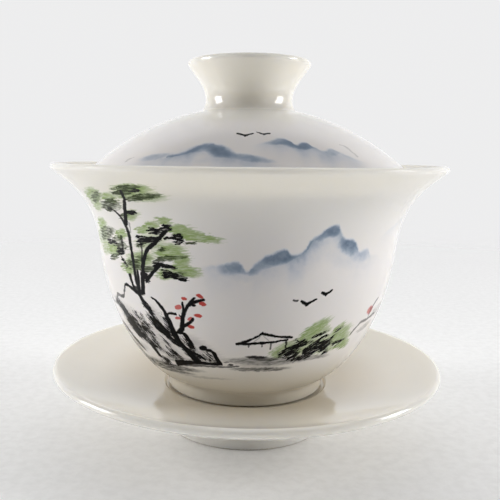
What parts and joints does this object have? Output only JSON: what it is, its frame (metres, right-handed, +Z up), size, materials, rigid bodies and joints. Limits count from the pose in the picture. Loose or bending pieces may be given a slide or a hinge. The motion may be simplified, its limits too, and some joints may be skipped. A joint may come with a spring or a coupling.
{
  "type": "gaiwan",
  "caption": "Lidded tea bowl with a flared rim, a domed lid with a flared ring knob, and a wide footed saucer, in glossy ivory porcelain with a brush-painted landscape.",
  "frame": {"origin": "on the common axis of the three pieces, on the surface that the saucer's foot ring stands on", "axes": "+Z up along the common axis, -Y towards the front, where the middle of the painted landscape is, +X to the right of it"},
  "size_m": [0.1032, 0.1032, 0.097],
  "materials": {
    "saucer_glaze": "gloss",
    "bowl_glaze": "gloss",
    "lid_glaze": "gloss"
  },
  "bodies": {
    "saucer_body": {"saucer": "saucer_glaze"},
    "bowl_body": {"bowl": "bowl_glaze"},
    "lid_body": {"lid": "lid_glaze"}
  },
  "joints": [
    {"name": "bowl_lift", "type": "slide", "parent": "saucer_body", "child": "bowl_body", "axis": [0, 0, 1], "range_m": [0, 0.08]},
    {"name": "lid_lift", "type": "slide", "parent": "bowl_body", "child": "lid_body", "axis": [0, 0, 1], "range_m": [0, 0.06]}
  ]
}
